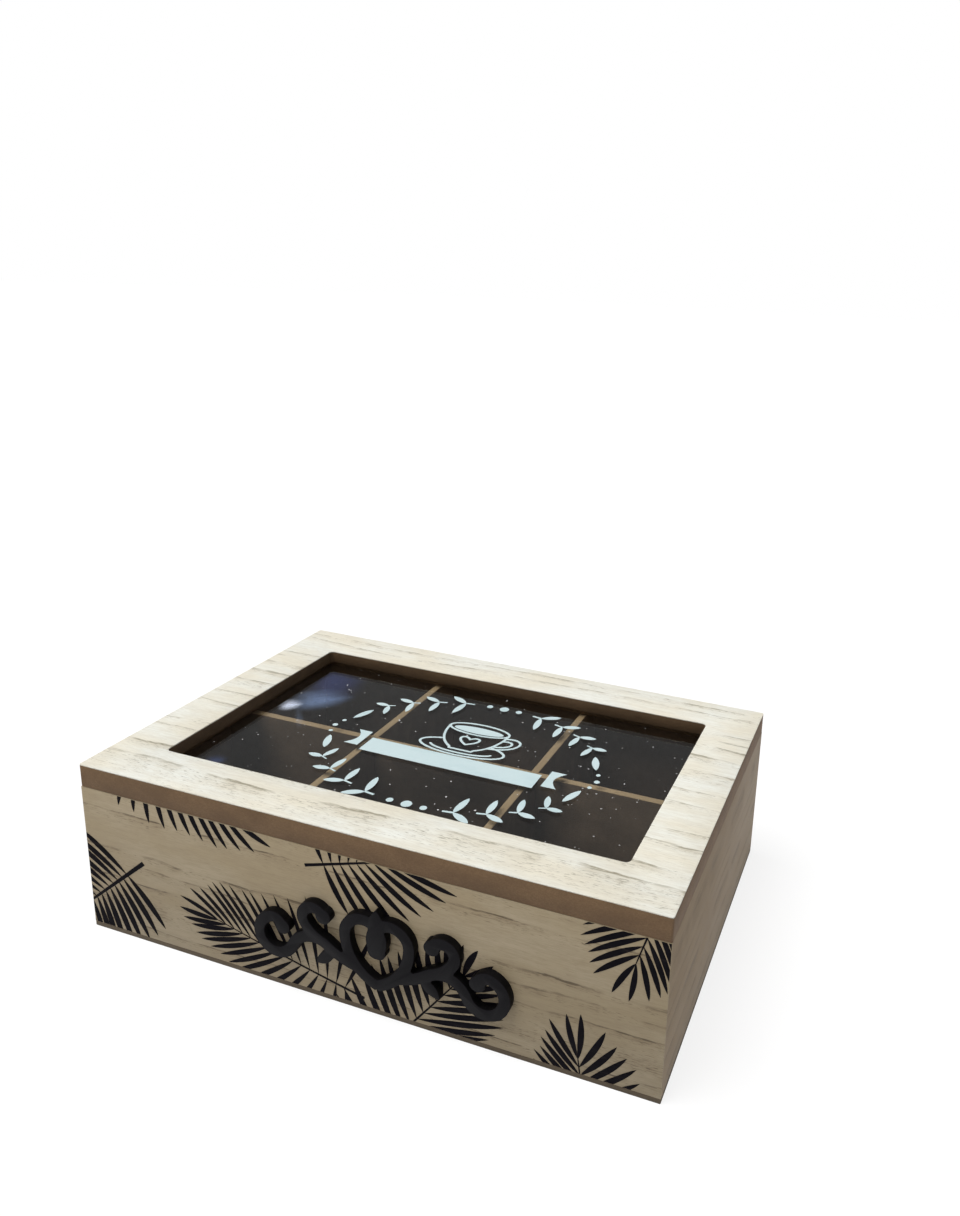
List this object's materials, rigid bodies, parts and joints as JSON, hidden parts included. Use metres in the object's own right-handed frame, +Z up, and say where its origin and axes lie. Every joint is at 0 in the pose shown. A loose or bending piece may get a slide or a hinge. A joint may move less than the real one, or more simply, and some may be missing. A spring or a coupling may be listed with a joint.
{
  "type": "tea bag organizer box",
  "caption": "Flat veneered wooden box with a glass-topped hinged lid and six compartments for tea bags, with a cut-out ornament on its front.",
  "frame": {"origin": "middle of the underside of the bottom board, where the box stands", "axes": "+X to the box's right-hand side, +Y to the back, where the hinges are, +Z up"},
  "size_m": [0.23, 0.1563, 0.07],
  "materials": {
    "veneer_pale": "matt pale paulownia-like veneer with fine grey-brown grain",
    "veneer_shade": "matt paulownia-like veneer on the walls",
    "mdf_edge": "raw brown MDF, sawn edges",
    "mdf_dark": "MDF with a dark brown painted inside",
    "divider_mdf": "thin MDF, dark painted faces and raw edges",
    "glass": "clear float glass",
    "hinge_brass": "brass-plated pressed steel",
    "ornament_black": "satin black paint on a cut-out board"
  },
  "bodies": {
    "case": {"bottom_panel": "mdf_edge", "front_panel": "mdf_dark", "back_panel": "mdf_dark", "left_panel": "mdf_dark", "right_panel": "mdf_dark", "front_veneer": "veneer_shade", "back_veneer": "veneer_shade", "left_veneer": "veneer_shade", "right_veneer": "veneer_shade", "long_divider": "divider_mdf", "left_cross_divider": "divider_mdf", "right_cross_divider": "divider_mdf", "front_ornament": "ornament_black", "left_hinge_case_leaf": "hinge_brass", "right_hinge_case_leaf": "hinge_brass", "left_hinge_pin": "hinge_brass", "right_hinge_pin": "hinge_brass", "hinge_case_nails": "hinge_brass"},
    "lid": {"lid_frame": "mdf_edge", "lid_veneer": "veneer_pale", "glass_pane": "glass", "front_glass_bead": "mdf_edge", "back_glass_bead": "mdf_edge", "left_glass_bead": "mdf_edge", "right_glass_bead": "mdf_edge", "left_hinge_lid_leaf": "hinge_brass", "right_hinge_lid_leaf": "hinge_brass", "hinge_lid_nails": "hinge_brass"}
  },
  "joints": [
    {"name": "lid_hinge", "type": "hinge", "parent": "case", "child": "lid", "pos_m": [0, 0.07675, 0.0609], "axis": [-1, 0, 0], "range_deg": [0, 180]}
  ]
}
